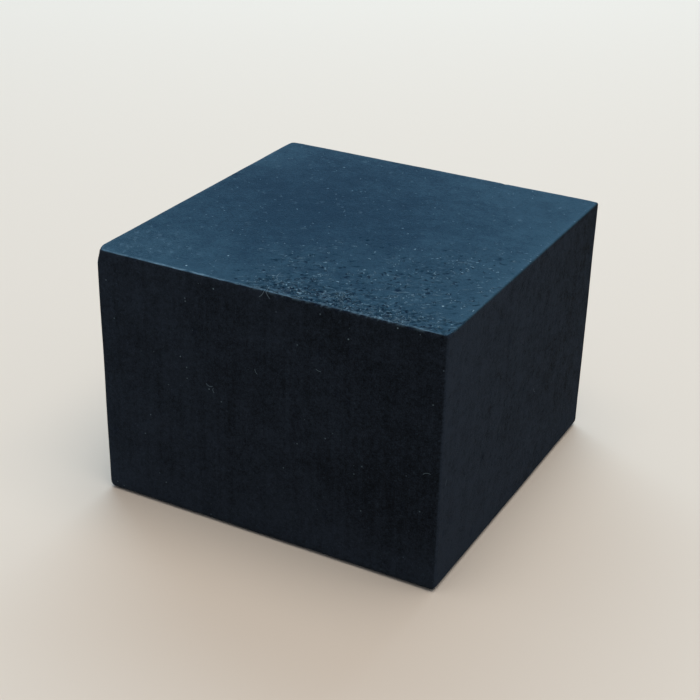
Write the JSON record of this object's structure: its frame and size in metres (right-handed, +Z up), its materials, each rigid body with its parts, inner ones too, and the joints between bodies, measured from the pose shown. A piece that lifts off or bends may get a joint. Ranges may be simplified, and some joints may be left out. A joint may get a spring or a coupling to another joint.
{
  "type": "charcoal block",
  "caption": "Square solid block of pressed artists' charcoal with eased edges, for broad drawing strokes and rubbing.",
  "frame": {"origin": "middle of the underside, on the surface the block rests on", "axes": "+Z up through the 50 mm height; the four upright faces look along +X, -X, +Y and -Y"},
  "size_m": [0.07, 0.07, 0.05],
  "materials": {
    "charcoal": "matte, dusty pressed charcoal powder with fine pores, light scratches and rubbed edges"
  },
  "bodies": {
    "root": {"charcoal_block": "charcoal"}
  },
  "joints": []
}
